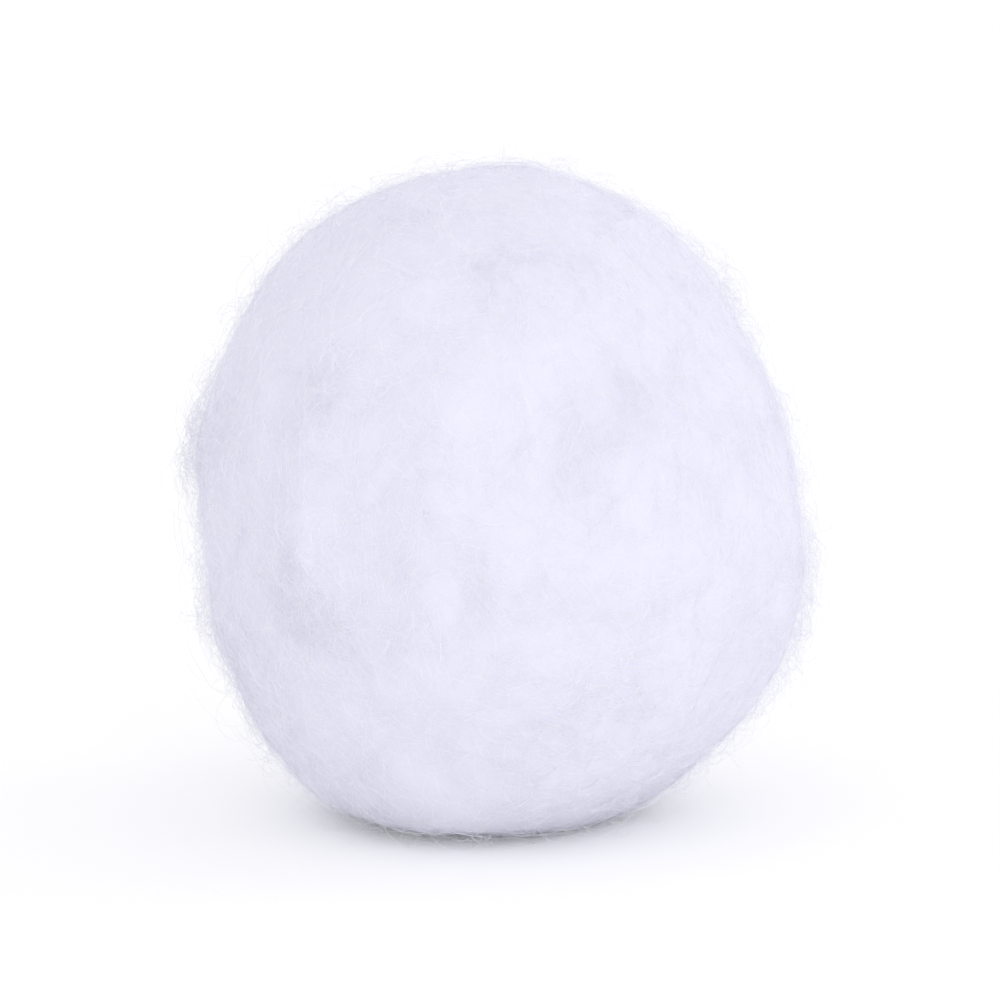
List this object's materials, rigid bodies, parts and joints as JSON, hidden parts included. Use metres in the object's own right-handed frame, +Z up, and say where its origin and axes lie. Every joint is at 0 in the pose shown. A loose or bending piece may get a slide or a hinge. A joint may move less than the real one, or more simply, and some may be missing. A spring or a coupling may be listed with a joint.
{
  "type": "cotton ball",
  "caption": "Soft white cotton ball, wound from carded cotton, with a fuzzy surface and a small flat spot to rest on.",
  "frame": {"origin": "on the ground under the middle of the ball, at the centre of its flat spot", "axes": "+Z up through the ball, +X to the right and -Y towards the viewer in the pictured view"},
  "size_m": [0.0341, 0.0339, 0.0368],
  "materials": {
    "cotton": "matte, fuzzy"
  },
  "bodies": {
    "root": {"cotton_ball": "cotton"}
  },
  "joints": []
}
